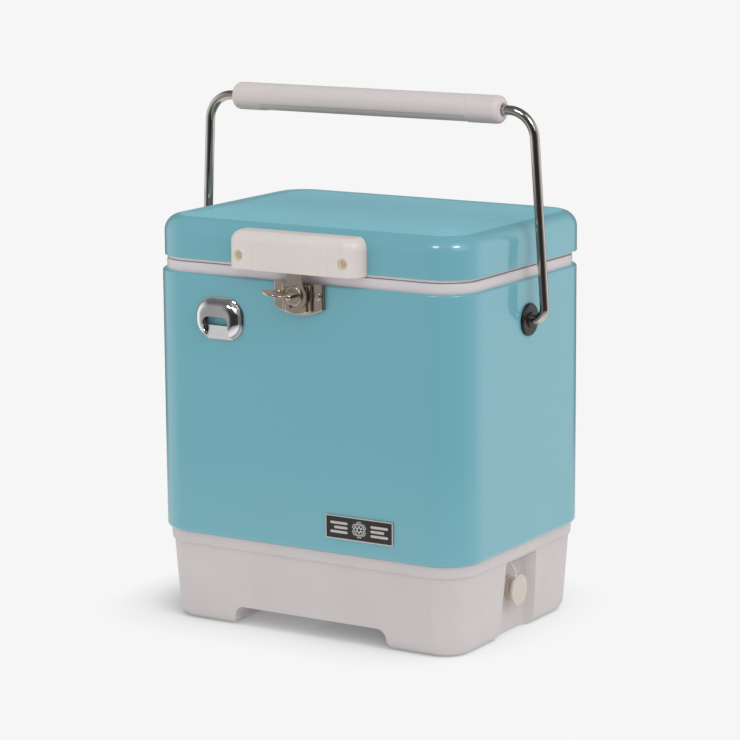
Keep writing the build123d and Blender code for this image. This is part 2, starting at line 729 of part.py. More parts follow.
def grip_ring(radius, start, end):
    """What is cut from the sleeve to leave the given radius between two stations."""
    outer = peg(GRIP_R + 1, start, end, z=BAIL_TOP_Z)
    return outer - peg(radius, start - 1, end + 1, z=BAIL_TOP_Z)


def bail_grip():
    """Round grip sleeve: rounded ends, a fine ring near each and a shallow flat underneath."""
    sleeve = peg(GRIP_R, -GRIP_HALF, GRIP_HALF, z=BAIL_TOP_Z)
    sleeve = fillet(sleeve.faces().sort_by(Axis.X)[0].edges(), GRIP_END_ROUND)
    sleeve = fillet(sleeve.faces().sort_by(Axis.X)[-1].edges(), GRIP_END_ROUND)
    for groove in both_sides(grip_ring(GRIP_RING_R, GRIP_RING_X, GRIP_RING_X + GRIP_RING_WIDTH)):
        sleeve -= groove
    half, far = GRIP_UNDER_HALF, 2 * GRIP_R
    below = block(-half, half, -far, far, BAIL_TOP_Z - far, BAIL_TOP_Z - GRIP_UNDER_DROP)
    sleeve -= grip_ring(GRIP_UNDER_R, -half, half) & below
    sleeve -= peg(ROD_R + GRIP_FIT, -GRIP_HALF - 1, GRIP_HALF + 1, z=BAIL_TOP_Z)
    for end in both_sides(peg(GRIP_SOCKET_R, GRIP_HALF - GRIP_SOCKET_DEPTH, GRIP_HALF + 1, z=BAIL_TOP_Z)):
        sleeve -= end
    return leaned(sleeve)


# ---------------------------------------------------------------- latch
def latch_profile(half, z_low, z_high, belly):
    """Plate outline with a bowed lower edge, centred on the latch."""
    edge = [
        Line((-half, z_low + belly), (-half, z_high)),
        Line((-half, z_high), (half, z_high)),
        Line((half, z_high), (half, z_low + belly)),
        ThreePointArc((half, z_low + belly), (0, z_low), (-half, z_low + belly)),
    ]
    return Pos(LATCH_X, 0, 0) * (Plane.XZ * make_face(Curve() + edge))


def latch_step(half, draw_in, proud):
    """One rounded step of the latch's pressed dish."""
    low = PLATE_BOTTOM + draw_in
    step = extrude(latch_profile(half - draw_in, low, PLATE_TOP - draw_in, half / 4), proud)
    step = Pos(0, FRONT - 0.02, 0) * step
    return fillet(step.faces().sort_by(Axis.Y)[0].edges(), 1.2)


def latch_base():
    """Body-side latch dish, stepping up to the narrow housing that the stem turns in."""
    shell = latch_step(PLATE_HALF, 0, PLATE_PROUD)
    shell += latch_step(SHOULDER_HALF, 0.9, SHOULDER_PROUD)
    shell += latch_step(HOUSING_HALF, 1.2, HOUSING_PROUD)
    shell -= latch_step(PLATE_HALF, PLATE_WALL, PLATE_PROUD - PLATE_WALL)
    shell -= peg(STEM_R + 0.05, FRONT - 20, FRONT + 1, x=LATCH_X, z=LATCH_Z, along="y")
    for hole in rivets(0):
        shell -= hole
    return shell


def rivets(slack):
    """Shanks of the two rivets that hold the latch dish."""
    pegs = []
    for side in (-1, 1):
        x = LATCH_X + side * RIVET_X
        pegs.append(peg(RIVET_R - slack, FRONT - PLATE_PROUD - 1, FRONT + 6, x=x, z=LATCH_Z, along="y"))
    return pegs


def latch_rivets():
    heads = []
    face = FRONT - PLATE_PROUD - 0.04
    for shank in rivets(0.03):
        x = shank.center().X
        head = peg(RIVET_HEAD_R, face - RIVET_HEAD_HEIGHT, face, x=x, z=LATCH_Z, along="y")
        head = fillet(head.faces().sort_by(Axis.Y)[0].edges(), 1.6)
        heads.append(head + shank)
    return heads


def strap_outline():
    """The hasp in elevation: a straight neck whose sides curve out into a round end."""
    neck_top = TAB_BOTTOM + 2
    neck_foot = LATCH_Z + STRAP_SHOULDER
    lift = radians(18)
    join = Vector(STRAP_END_R * cos(lift), LATCH_Z + STRAP_END_R * sin(lift))
    waist = ((STRAP_TOP_HALF + join.X) / 2 - 1.1, (neck_foot + join.Y) / 2)
    low_right = (STRAP_END_R * 0.8, LATCH_Z - STRAP_END_R * 0.6)
    lowest = (0, LATCH_Z - STRAP_END_R)
    right = [
        Line((0, neck_top), (STRAP_TOP_HALF, neck_top)),
        Line((STRAP_TOP_HALF, neck_top), (STRAP_TOP_HALF, neck_foot)),
        ThreePointArc((STRAP_TOP_HALF, neck_foot), waist, (join.X, join.Y)),
        ThreePointArc((join.X, join.Y), low_right, lowest),
        Line(lowest, (0, neck_top)),
    ]
    half = Plane.XZ * make_face(Curve() + right)
    half = extrude(half, STRAP_THICK)
    return half + mirror(half, about=Plane.YZ)


def latch_strap():
    """Hasp from under the lid's tab, hanging in front of the latch housing."""
    back = FRONT - STRAP_BACK
    strap = Pos(LATCH_X, back, 0) * strap_outline()
    slot = block(
        LATCH_X - STRAP_SLOT_HALF, LATCH_X + STRAP_SLOT_HALF, back - 9, back + 9, LATCH_Z - 40, LATCH_Z
    )
    slot += peg(STRAP_SLOT_HALF, back - 9, back + 9, x=LATCH_X, z=LATCH_Z, along="y")
    strap -= slot
    mount_back = LID_FRONT - 0.05
    shelf = block(
        LATCH_X - STRAP_TOP_HALF + 0.9, LATCH_X + STRAP_TOP_HALF - 0.9, back - 1, mount_back,
        TAB_BOTTOM + 0.4, TAB_BOTTOM + 2
    )
    front = mount_back - STRAP_LEAF_THICK
    half = STRAP_LEAF_HALF
    leaf = block(-half, half, front, mount_back, TAB_BOTTOM + 2, TAB_BOTTOM + STRAP_LEAF_TOP)
    web = block(-5, 9, front, mount_back, TAB_BOTTOM + 0.4, TAB_BOTTOM + 3)
    return strap + shelf + leaf + web


def rotor_disc(growth):
    back = FRONT - STRAP_BACK - STRAP_THICK - ROTOR_GAP
    return peg(ROTOR_R + growth, back - ROTOR_THICK - growth, back, x=LATCH_X, z=LATCH_Z, along="y")


def latch_rotor():
    """Turning disc on a stem that runs back into the housing."""
    disc = rotor_disc(0)
    disc = fillet(disc.faces().sort_by(Axis.Y)[0].edges(), 1.0)
    back = FRONT - STRAP_BACK - STRAP_THICK - ROTOR_GAP
    stem = peg(STEM_R, back - 1, FRONT - 1, x=LATCH_X, z=LATCH_Z, along="y")
    return disc + stem


def latch_wing():
    """Oval thumb plate held edge-on beside the disc by a small hub."""
    oval = extrude(Ellipse(WING_HALF_LONG, WING_HALF_DEEP), WING_THICK / 2, both=True)
    oval = fillet(oval.edges(), 0.9)
    oval = Pos(LATCH_X, WING_Y, LATCH_Z) * Rot(0, WING_TILT, 0) * Pos(WING_X, 0, 0) * oval
    root = FRONT - STRAP_BACK - STRAP_THICK - ROTOR_GAP - ROTOR_THICK - 0.02
    hub = peg(WING_HUB_R, WING_Y - 1, root, x=LATCH_X, z=LATCH_Z, along="y")
    hub = fillet(hub.faces().sort_by(Axis.Y)[0].edges(), WING_HUB_R - 0.6)
    return oval + hub - rotor_disc(0.02)


# ---------------------------------------------------------------- opener
def opener_outline(draw_in):
    return RectangleRounded(
        2 * (OPENER_HALF_W - draw_in), 2 * (OPENER_HALF_H - draw_in), OPENER_CORNER - draw_in
    )


def bottle_opener():
    """Wall opener: flange, domed hood above the mouth and a sloping lip below it."""
    place = Pos(OPENER_X, FRONT - 0.02, OPENER_Z) * Rot(90, 0, 0)
    flange = extrude(opener_outline(0), OPENER_FLANGE)
    dome = extrude(opener_outline(OPENER_STEP), OPENER_PROUD)
    dome = fillet(dome.faces().sort_by(Axis.Z)[-1].edges(), OPENER_DOME_ROUND)
    inner = extrude(opener_outline(OPENER_STEP + OPENER_WALL), OPENER_PROUD - OPENER_WALL)
    inner = fillet(inner.faces().sort_by(Axis.Z)[-1].edges(), OPENER_DOME_ROUND - OPENER_WALL)
    inner -= extrude(opener_outline(0), OPENER_FLANGE)
    shell = flange + dome - inner
    mouth = RectangleRounded(2 * MOUTH_HALF, MOUTH_HEIGHT, MOUTH_CORNER)
    mouth = Pos(0, MOUTH_TOP - MOUTH_HEIGHT / 2) * mouth
    shell -= Pos(0, 0, OPENER_FLANGE) * extrude(mouth, OPENER_PROUD)
    window = Pos(0, (MOUTH_TOP + LIP_ROOT) / 2) * Rectangle(2 * MOUTH_HALF, MOUTH_TOP - LIP_ROOT)
    shell -= extrude(window & mouth, OPENER_PROUD)
    lip_profile = Polyline(
        (0, -OPENER_HALF_H + 1.2), (OPENER_FLANGE, -OPENER_HALF_H + 1.2), (LIP_PROUD, LIP_TOP),
        (LIP_PROUD - LIP_THICK, LIP_TOP), (0, LIP_ROOT), close=True
    )
    lip = extrude(Plane.ZY * make_face(lip_profile), MOUTH_HALF, both=True)
    solid = shell + lip
    for hole in opener_pegs(0):
        solid -= place.inverse() * hole
    return place * solid


def opener_pegs(slack):
    pegs = []
    z = OPENER_Z + OPENER_SCREW_RISE
    for side in (-1, 1):
        x = OPENER_X + side * OPENER_SCREW_X
        pegs.append(peg(OPENER_SCREW_R - slack, FRONT - 2, FRONT + 10, x=x, z=z, along="y"))
    return pegs


def opener_screws():
    """Round-headed screws under the hood that hold the opener to the wall."""
    screws = []
    seat = FRONT - OPENER_FLANGE - 0.04
    for shank in opener_pegs(0.05):
        centre = shank.center()
        low = seat - OPENER_SCREW_HEAD_HEIGHT
        head = peg(OPENER_SCREW_HEAD_R, low, seat, x=centre.X, z=centre.Z, along="y")
        head = fillet(head.faces().sort_by(Axis.Y)[0].edges(), 1.2)
        screws.append(head + (shank & block(-SIDE, SIDE, seat - 1, 0, 0, LID_TOP)))
    return screws


# ---------------------------------------------------------------- nameplate
def nameplate():
    """Badge plate with a raised border."""
    place = Pos(BADGE_X, FRONT - 0.02, BADGE_Z) * Rot(90, 0, 0)
    plate = extrude(RectangleRounded(BADGE_WIDTH, BADGE_HEIGHT, BADGE_BORDER), BADGE_THICK)
    width = BADGE_WIDTH - 2 * BADGE_BORDER
    height = BADGE_HEIGHT - 2 * BADGE_BORDER
    pocket = Pos(0, 0, BADGE_FLOOR) * extrude(RectangleRounded(width, height, 0.8), BADGE_THICK)
    return place * (plate - pocket)


def nameplate_face():
    """Thin printed face that lies in the badge plate's pocket."""
    place = Pos(BADGE_X, FRONT - BADGE_FLOOR - 0.03, BADGE_Z) * Rot(90, 0, 0)
    width = BADGE_WIDTH - 2 * (BADGE_BORDER + FIT)
    height = BADGE_HEIGHT - 2 * (BADGE_BORDER + FIT)
    return place * extrude(RectangleRounded(width, height, 0.7), 0.4)


def save(name, shape):
    solids = shape if isinstance(shape, list) else [shape]
    solids = [piece for solid in solids for piece in solid.solids()]
    export_step(Compound(children=solids), f"parts/{name}.step")


if __name__ == "__main__":
    os.makedirs("parts", exist_ok=True)
    save("steel_jacket", steel_jacket())
    save("base_tray", base_tray())
    save("inner_liner", inner_liner())
    save("body_foam", body_foam())
    save("pivot_seats", both_sides(grommet_seat()))
    save("drain_spout", drain_spout())
    save("drain_nut", drain_nut())
    save("drain_cap", drain_cap())
    save("drain_tether", drain_tether())
    save("lid_pan", lid_pan())
    save("lid_liner", lid_liner())
    save("lid_gasket", gasket_form(0))
    save("lid_foam", lid_foam())
    save("lid_handle", lid_handle())
    save("handle_screws", handle_screws())
    save("hinge_leaves_body", [body_leaf(-HINGE_X), body_leaf(HINGE_X)])
    save("hinge_leaves_lid", [lid_leaf(-HINGE_X), lid_leaf(HINGE_X)])
    save("hinge_pins", [hinge_pin(-HINGE_X), hinge_pin(HINGE_X)])
    save("hinge_screws_body", hinge_screws(hinge_screw_pegs(0.05), BACK))
    save("hinge_screws_lid", hinge_screws(lid_hinge_screw_pegs(0.05), LID_BACK))
    save("bail_rod", bail_rod())
    save("rod_retainers", both_sides(rod_retainer()))
    save("pivot_bushes", both_sides(pivot_bush()))
    save("bail_grip", bail_grip())
    save("latch_base", latch_base())
    save("latch_rivets", latch_rivets())
    save("latch_strap", latch_strap())
    save("latch_rotor", latch_rotor())
    save("latch_wing", latch_wing())
    save("bottle_opener", bottle_opener())
    save("opener_screws", opener_screws())
    save("nameplate", nameplate())
    save("nameplate_face", nameplate_face())
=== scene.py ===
"""Looks of the steel-belted picnic cooler: materials, refined pieces, studio floor, lights and camera."""

import json
import math

import bmesh
import bpy
from mathutils import Matrix, Vector


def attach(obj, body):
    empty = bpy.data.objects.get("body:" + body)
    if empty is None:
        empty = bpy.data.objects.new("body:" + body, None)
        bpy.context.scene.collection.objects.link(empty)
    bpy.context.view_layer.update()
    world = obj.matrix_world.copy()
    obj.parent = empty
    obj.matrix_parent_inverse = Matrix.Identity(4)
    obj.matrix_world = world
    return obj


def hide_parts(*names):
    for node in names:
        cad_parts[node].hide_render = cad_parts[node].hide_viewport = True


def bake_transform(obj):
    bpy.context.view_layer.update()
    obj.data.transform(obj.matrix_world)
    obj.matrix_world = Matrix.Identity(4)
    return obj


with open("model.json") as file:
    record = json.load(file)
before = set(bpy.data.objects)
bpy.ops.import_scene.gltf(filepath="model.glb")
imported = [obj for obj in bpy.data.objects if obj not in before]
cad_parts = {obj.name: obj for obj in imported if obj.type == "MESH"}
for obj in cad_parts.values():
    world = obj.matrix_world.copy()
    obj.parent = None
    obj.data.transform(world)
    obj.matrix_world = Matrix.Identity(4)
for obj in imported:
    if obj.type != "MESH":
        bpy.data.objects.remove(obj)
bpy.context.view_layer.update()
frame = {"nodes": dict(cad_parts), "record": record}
nodes = frame["nodes"]

# ------------------------------------------------------------------ colours, linear
ENAMEL = (0.160, 0.418, 0.490)
# painted light: the lighter blue given to faces that look up
ENAMEL_PAINTED_TOP_LIGHT = (0.262, 0.640, 0.745)
WHITE_PLASTIC = (0.72, 0.66, 0.63)
# liner white, darkened as painted shade for the rim in the gap under the lid
LINER_WHITE_AND_PAINTED_SHADE = (0.67, 0.63, 0.65)
BASE_GREY = (0.605, 0.56, 0.56)
GRIP_GREY = (0.66, 0.61, 0.60)
CAP_CREAM = (0.62, 0.55, 0.49)
# cream of the recess cups, brightened as painted light against the recesses' shade
CUP_CREAM_AND_PAINTED_LIGHT = (0.80, 0.70, 0.50)
BLACK_NYLON = (0.014, 0.013, 0.013)
FOAM_YELLOW = (0.78, 0.66, 0.38)
STEEL = (0.60, 0.55, 0.50)
NICKEL = (0.64, 0.55, 0.47)
ZINC = (0.62, 0.61, 0.60)
CHROME = (0.83, 0.83, 0.85)
SILVER = (0.72, 0.70, 0.68)
GASKET = (0.05, 0.05, 0.052)
ENAMEL_BOUNCE = (0.15, 0.24, 0.26)  # what blue faces throw at their neighbours
TOP_COAT = 0.22  # coat weight on faces that look straight up


# ------------------------------------------------------------------ material helpers
class Shader:
    """A principled material with short calls for the nodes that feed it."""

    def __init__(self, name):
        self.material = bpy.data.materials.new(name)
        self.material.use_nodes = True
        self.tree = self.material.node_tree
        self.tree.nodes.clear()
        output = self.tree.nodes.new("ShaderNodeOutputMaterial")
        self.bsdf = self.tree.nodes.new("ShaderNodeBsdfPrincipled")
        self.link(self.bsdf.outputs[0], output.inputs[0])
        self.place = self.tree.nodes.new("ShaderNodeTexCoord").outputs["Object"]

    def link(self, out, into):
        self.tree.links.new(out, into)

    def set(self, **values):
        for key, value in values.items():
            self.bsdf.inputs[key.replace("_", " ")].default_value = value

    def stretched(self, scale):
        """Object coordinates in metres, multiplied by a scale per axis."""
        node = self.tree.nodes.new("ShaderNodeVectorMath")
        node.operation = "MULTIPLY"
        self.link(self.place, node.inputs[0])
        node.inputs[1].default_value = scale
        return node.outputs[0]

    def noise(self, scale, detail, stretch=(1, 1, 1)):
        node = self.tree.nodes.new("ShaderNodeTexNoise")
        node.inputs["Scale"].default_value = scale
        node.inputs["Detail"].default_value = detail
        self.link(self.stretched(stretch), node.inputs["Vector"])
        return node.outputs["Fac"]

    def spread(self, value, low, high, start=0.3, end=0.7):
        """Maps a noise value onto low..high."""
        node = self.tree.nodes.new("ShaderNodeMapRange")
        self.link(value, node.inputs["Value"])
        node.inputs["From Min"].default_value = start
        node.inputs["From Max"].default_value = end
        node.inputs["To Min"].default_value = low
        node.inputs["To Max"].default_value = high
        return node.outputs["Result"]

    def tint(self, value, dark, light):
        """Colour between dark and light, driven by a 0..1 value."""
        node = self.tree.nodes.new("ShaderNodeMix")
        node.data_type = "RGBA"
        self.link(value, node.inputs["Factor"])
        node.inputs["A"].default_value = (*dark, 1)
        node.inputs["B"].default_value = (*light, 1)
        return node.outputs["Result"]

    def blended(self, factor, first, second):
        """Mix of a colour socket and a fixed colour, driven by a factor socket."""
        node = self.tree.nodes.new("ShaderNodeMix")
        node.data_type = "RGBA"
        self.link(factor, node.inputs["Factor"])
        self.link(first, node.inputs["A"])
        node.inputs["B"].default_value = (*second, 1)
        return node.outputs["Result"]

    def upright(self):
        """How far a face looks up: 1 on top, 0 on a wall, -1 underneath."""
        facing = self.tree.nodes.new("ShaderNodeSeparateXYZ")
        self.link(self.tree.nodes.new("ShaderNodeNewGeometry").outputs["Normal"], facing.inputs[0])
        return facing.outputs["Z"]

    def muted(self, colour, bounced):
        """The colour for the camera, and a duller one for light that bounces off it."""
        path = self.tree.nodes.new("ShaderNodeLightPath")
        away = self.tree.nodes.new("ShaderNodeMath")
        away.operation = "SUBTRACT"
        away.inputs[0].default_value = 1.0
        self.link(path.outputs["Is Camera Ray"], away.inputs[1])
        return self.blended(away.outputs[0], colour, bounced)

    def bump(self, height, strength, distance, under=None):
        node = self.tree.nodes.new("ShaderNodeBump")
        node.inputs["Strength"].default_value = strength
        node.inputs["Distance"].default_value = distance
        self.link(height, node.inputs["Height"])
        if under is not None:
            self.link(under, node.inputs["Normal"])
        return node.outputs["Normal"]


def shade(colour, factor):
    return tuple(min(1.0, channel * factor) for channel in colour)


def enamel(name, colour, painted_top_light):
    """Glossy enamel on sheet steel: slow colour drift, faint orange peel under a clear coat; painted light
    lifts faces that look up.
    """
    s = Shader(name)
    drift = s.spread(s.noise(7.0, 3.0), 0, 1)
    paint = s.tint(drift, shade(colour, 0.99), shade(colour, 1.01))
    # painted light: faces that look up blend to the lighter top colour
    with_painted_top_light = s.blended(s.spread(s.upright(), 0, 1, 0.980, 0.9998), paint, painted_top_light)
    s.link(s.muted(with_painted_top_light, ENAMEL_BOUNCE), s.bsdf.inputs["Base Color"])
    s.link(s.spread(s.upright(), 0.9, TOP_COAT, 0.86, 0.99), s.bsdf.inputs["Coat Weight"])
    s.link(s.spread(s.noise(30.0, 4.0), 0.30, 0.40), s.bsdf.inputs["Roughness"])
    s.set(Coat_Roughness=0.07, Coat_IOR=1.52, Specular_IOR_Level=0.15)
    peel = s.bump(s.noise(420.0, 1.0), 0.05, 0.0004)
    wave = s.bump(s.noise(24.0, 1.0), 0.06, 0.002, peel)
    s.link(wave, s.bsdf.inputs["Normal"])
    s.link(wave, s.bsdf.inputs["Coat Normal"])
    return s.material


def moulded(name, colour, roughness, grain=1.0, depth=0.1, soft=0.04, under=1.0):
    """Moulded plastic: spark-eroded grain, mottled tone, light under the skin and painted shade on faces
    that look down.
    """
    s = Shader(name)
    mottle = s.spread(s.noise(26.0, 5.0), 0, 1)
    tone = s.tint(mottle, shade(colour, 0.97), shade(colour, 1.02))
    # painted shade: faces that look down darken towards the colour times under
    painted_underside_shade = s.spread(s.upright(), 1, 0, -0.75, -0.20)
    s.link(s.blended(painted_underside_shade, tone, shade(colour, under)), s.bsdf.inputs["Base Color"])
    s.link(s.spread(s.noise(90.0, 3.0), roughness - 0.05, roughness + 0.06), s.bsdf.inputs["Roughness"])
    s.set(Subsurface_Weight=soft, Subsurface_Scale=0.002, Specular_IOR_Level=0.45)
    s.set(Subsurface_Radius=(1.0, 0.8, 0.7))
    fine = s.bump(s.noise(2600.0 * grain, 2.0), depth, 0.00015)
    sink = s.bump(s.noise(18.0, 1.0), 0.05, 0.002, fine)
    s.link(sink, s.bsdf.inputs["Normal"])
    return s.material


def metal(name, colour, roughness, streak, streak_scale, wave, spread=0.05):
    """Bare or plated metal: fine streaks in the roughness and a slightly wavy face."""
    s = Shader(name)
    lines = s.noise(streak_scale, 3.0, streak)
    tone = s.spread(s.noise(60.0, 4.0), 0, 1)
    s.link(s.tint(tone, shade(colour, 0.93), shade(colour, 1.03)), s.bsdf.inputs["Base Color"])
    s.link(s.spread(lines, max(0.02, roughness - spread), roughness + spread), s.bsdf.inputs["Roughness"])
    s.set(Metallic=1.0)
    fine = s.bump(lines, 0.04, 0.00008)
    s.link(s.bump(s.noise(110.0, 1.0), wave, 0.0006, fine), s.bsdf.inputs["Normal"])
    return s.material


def rubber(name, colour):
    """Matt rubber with a little dust on it."""
    s = Shader(name)
    dust = s.spread(s.noise(140.0, 5.0), 0, 1, 0.45, 0.8)
    s.link(s.tint(dust, colour, shade(colour, 1.8)), s.bsdf.inputs["Base Color"])
    s.link(s.spread(s.noise(300.0, 3.0), 0.5, 0.7), s.bsdf.inputs["Roughness"])
    s.link(s.bump(s.noise(1400.0, 2.0), 0.15, 0.0002), s.bsdf.inputs["Normal"])
    return s.material


def foam(name, colour):
    """Rigid foam: open cells as a Voronoi bump."""
    s = Shader(name)
    cells = s.tree.nodes.new("ShaderNodeTexVoronoi")
    cells.inputs["Scale"].default_value = 700.0
    s.link(s.place, cells.inputs["Vector"])
    distance = cells.outputs["Distance"]
    s.link(s.tint(distance, shade(colour, 0.8), colour), s.bsdf.inputs["Base Color"])
    s.link(s.bump(distance, 0.5, 0.0006), s.bsdf.inputs["Normal"])
    s.set(Roughness=0.9)
    return s.material


materials = {
    "blue_enamel": enamel("blue_enamel", ENAMEL, ENAMEL_PAINTED_TOP_LIGHT),
    "white_plastic": moulded("white_plastic", WHITE_PLASTIC, 0.38),
    "liner_plastic": moulded("liner_plastic", LINER_WHITE_AND_PAINTED_SHADE, 0.35, 0.7),
    "base_plastic": moulded("base_plastic", BASE_GREY, 0.46, 0.8, 0.16),
    # painted shade: the grip's underside is darkened to 0.72 of its grey
    "grip_plastic": moulded("grip_plastic", GRIP_GREY, 0.42, under=0.72),
    "cap_plastic": moulded("cap_plastic", CAP_CREAM, 0.5, 0.6, 0.08, 0.15),
    "cup_cream_and_painted_light": moulded("cup_cream_and_painted_light", CUP_CREAM_AND_PAINTED_LIGHT, 0.55, 0.6, 0.08, 0.1),
    "black_plastic": moulded("black_plastic", BLACK_NYLON, 0.36, 0.5, 0.1, 0.0),
    "stainless_rod": metal("stainless_rod", STEEL, 0.10, (1, 1, 0.05), 900.0, 0.02, 0.03),
    "nickel": metal("nickel", NICKEL, 0.22, (1, 1, 1), 900.0, 0.10, 0.04),
    "zinc_steel": metal("zinc_steel", ZINC, 0.30, (1, 1, 1), 300.0, 0.10),
    "chrome_plate": metal("chrome_plate", CHROME, 0.05, (1, 1, 1), 200.0, 0.03, 0.02),
    "plate_silver": metal("plate_silver", SILVER, 0.28, (0.05, 1, 1), 900.0, 0.02),
    "plate_black": moulded("plate_black", (0.02, 0.017, 0.016), 0.22, 1.0, 0.03, 0.0),
    "foam": foam("foam", FOAM_YELLOW),
    "gasket_rubber": rubber("gasket_rubber", GASKET),
}

for part in frame["record"]["subparts"]:
    mesh = nodes[part["node"]].data
    mesh.materials.clear()
    mesh.materials.append(materials[part["material_slot"]])


# ------------------------------------------------------------------ pieces made as meshes
MM = 0.001


def piece(name, mesh, slot, body, look=None, smooth=True):
    """Links a finished mesh as part of the object, riding on a CAD body. A look stands in for the slot's."""
    mesh.materials.append(materials[look or slot])
    if smooth:
        mesh.shade_smooth()
    made = bpy.data.objects.new(name, mesh)
    bpy.context.scene.collection.objects.link(made)
    if body:
        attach(made, body)
    return made


def wrapped(name, verts, rows, columns):
    """Closed mesh from a grid of points that meets itself both ways, with its faces turned outward."""
    faces = []
    for row in range(rows):
        here, there = row * columns, (row + 1) % rows * columns
        for step in range(columns):
            beside = (step + 1) % columns
            faces.append((here + step, here + beside, there + beside, there + step))
    mesh = bpy.data.meshes.new(name)
    mesh.from_pydata(verts, [], faces)
    work = bmesh.new()
    work.from_mesh(mesh)
    bmesh.ops.recalc_face_normals(work, faces=work.faces)
    work.to_mesh(mesh)
    work.free()
    return mesh


def plates(name, outlines, front, back):
    """Flat shapes raised on a wall facing -Y, from (x, z) outlines in mm."""
    work = bmesh.new()
    for outline in outlines:
        corners = [work.verts.new((x * MM, back * MM, z * MM)) for x, z in outline]
        face = work.faces.new(corners)
        grown = bmesh.ops.extrude_face_region(work, geom=[face])["geom"]
        moved = [item for item in grown if isinstance(item, bmesh.types.BMVert)]
        bmesh.ops.translate(work, verts=moved, vec=(0, (front - back) * MM, 0))
    bmesh.ops.recalc_face_normals(work, faces=work.faces)
    mesh = bpy.data.meshes.new(name)
    work.to_mesh(mesh)
    work.free()
    return mesh


BAR_TIP = 0.45  # length of a bar's point over its thickness


def bar(x, z, length, thick, turn=0.0):
    """Outline of a pointed bar whose middle is at (x, z)."""
    half, side, tip = length / 2, thick / 2, thick * BAR_TIP
    lower = [(-half, 0), (-half + tip, -side), (half - tip, -side)]
    upper = [(half, 0), (half - tip, side), (-half + tip, side)]
    c, n = math.cos(turn), math.sin(turn)
    return [(x + u * c - v * n, z + u * n + v * c) for u, v in lower + upper]


PLATE_X, PLATE_Z = 68.5, 123.9
PLATE_FACE = -135.33
MOTIF_PROUD, MOTIF_SUNK = 0.22, 0.05
CRYSTAL_ACROSS, CRYSTAL_THICK = 17.5, 2.0
CRYSTAL_FIRST, CRYSTAL_STEP = math.radians(30), math.radians(60)
TWIGS = ((4.2, 4.2), (6.6, 3.0))  # distance out along an arm, length
TWIG_THICK = 1.2
STRIPES = ((4.6, 21.0), (0.0, 16.5), (-4.6, 21.0))  # height over the middle, length
STRIPE_FROM, STRIPE_THICK = 13.0, 2.6


def nameplate_motif():
    """Snow crystal between two pairs of bars, raised on the badge's black face."""
    shapes = []
    for step in range(3):
        angle = CRYSTAL_FIRST + CRYSTAL_STEP * step
        shapes.append(bar(PLATE_X, PLATE_Z, CRYSTAL_ACROSS, CRYSTAL_THICK, angle))
    for step in range(6):
        angle = CRYSTAL_FIRST + CRYSTAL_STEP * step
        for out, length in TWIGS:
            for side in (-1, 1):
                lean = angle + side * CRYSTAL_STEP
                reach = length / 2
                x = PLATE_X + out * math.cos(angle) + reach * math.cos(lean)
                z = PLATE_Z + out * math.sin(angle) + reach * math.sin(lean)
                shapes.append(bar(x, z, length, TWIG_THICK, lean))
    for side in (-1, 1):
        for rise, length in STRIPES:
            x = PLATE_X + side * (STRIPE_FROM + length / 2)
            shapes.append(bar(x, PLATE_Z + rise, length, STRIPE_THICK))
    mesh = plates("nameplate_motif", shapes, PLATE_FACE - MOTIF_PROUD, PLATE_FACE + MOTIF_SUNK)
    piece("nameplate_motif", mesh, "plate_silver", "body", smooth=False)


def turned(name, profile, centre, steps=64):
    """Ring around an axis along Y through (x, z), from (radius, y) points in mm."""
    verts = []
    for step in range(steps):
        angle = 2 * math.pi * step / steps
        for radius, y in profile:
            x = centre[0] + radius * math.cos(angle)
            z = centre[1] + radius * math.sin(angle)
            verts.append((x * MM, y * MM, z * MM))
    return wrapped(name, verts, steps, len(profile))


CUP_X, CUP_Z = 61.0, 391.7
CUP_OUTER, CUP_LIP, CUP_INNER, CUP_FLOOR = 5.45, 4.9, 4.6, 4.3
CUP_HUB = 0.02
CUP_BACK = -143.2


def recess_sleeves():
    """Cream cups lining the pull tab's two screw recesses."""
    profile = [(CUP_OUTER, CUP_BACK - 6.2), (CUP_LIP, CUP_BACK - 6.5), (CUP_INNER, CUP_BACK - 6.0)]
    profile += [(CUP_FLOOR, CUP_BACK - 2.4), (CUP_HUB, CUP_BACK - 2.0)]
    profile += [(CUP_HUB, CUP_BACK), (CUP_OUTER, CUP_BACK)]
    for name, x in (("recess_sleeve_left", -CUP_X), ("recess_sleeve_right", CUP_X)):
        # the cups wear the cream look brightened as painted light
        piece(name, turned(name, profile, (x, CUP_Z)), "cap_plastic", "lid", look="cup_cream_and_painted_light")


def ribbon(name, spine, widths, thickness, across, sides=12):
    """Strap with a rounded-rectangle section along a spine of points in mm."""
    verts, faces = [], []
    ring = []
    for step in range(sides):
        angle = 2 * math.pi * step / sides
        flat, tall = math.cos(angle), math.sin(angle)
        ring.append((math.copysign(abs(flat) ** 0.5, flat), math.copysign(abs(tall) ** 0.5, tall)))
    points = [Vector(point) for point in spine]
    for index, point in enumerate(points):
        ahead = points[min(index + 1, len(points) - 1)] - points[max(index - 1, 0)]
        wide = (Vector(across) - ahead.normalized() * Vector(across).dot(ahead.normalized())).normalized()
        deep = ahead.normalized().cross(wide)
        for flat, tall in ring:
            verts.append((point + wide * flat * widths[index] / 2 + deep * tall * thickness / 2) * MM)
    for index in range(len(points) - 1):
        low, high = index * sides, (index + 1) * sides
        for step in range(sides):
            after = (step + 1) % sides
            faces.append((low + step, low + after, high + after, high + step))
    faces.append(tuple(range(sides - 1, -1, -1)))
    faces.append(tuple(range((len(points) - 1) * sides, len(points) * sides)))
    mesh = bpy.data.meshes.new(name)
    mesh.from_pydata(verts, [], faces)
    return mesh


STRAP_TOP = (169.0, -9.5, 80.2)
STRAP_OUT, STRAP_ALONG, STRAP_DROP = 5.6, 2.2, 20.5
STRAP_SLACK, STRAP_SWAY = 1.6, 1.8
STRAP_WIDTH, STRAP_WAIST, STRAP_THICK = 4.6, 2.0, 1.5
STRAP_STEPS = 24


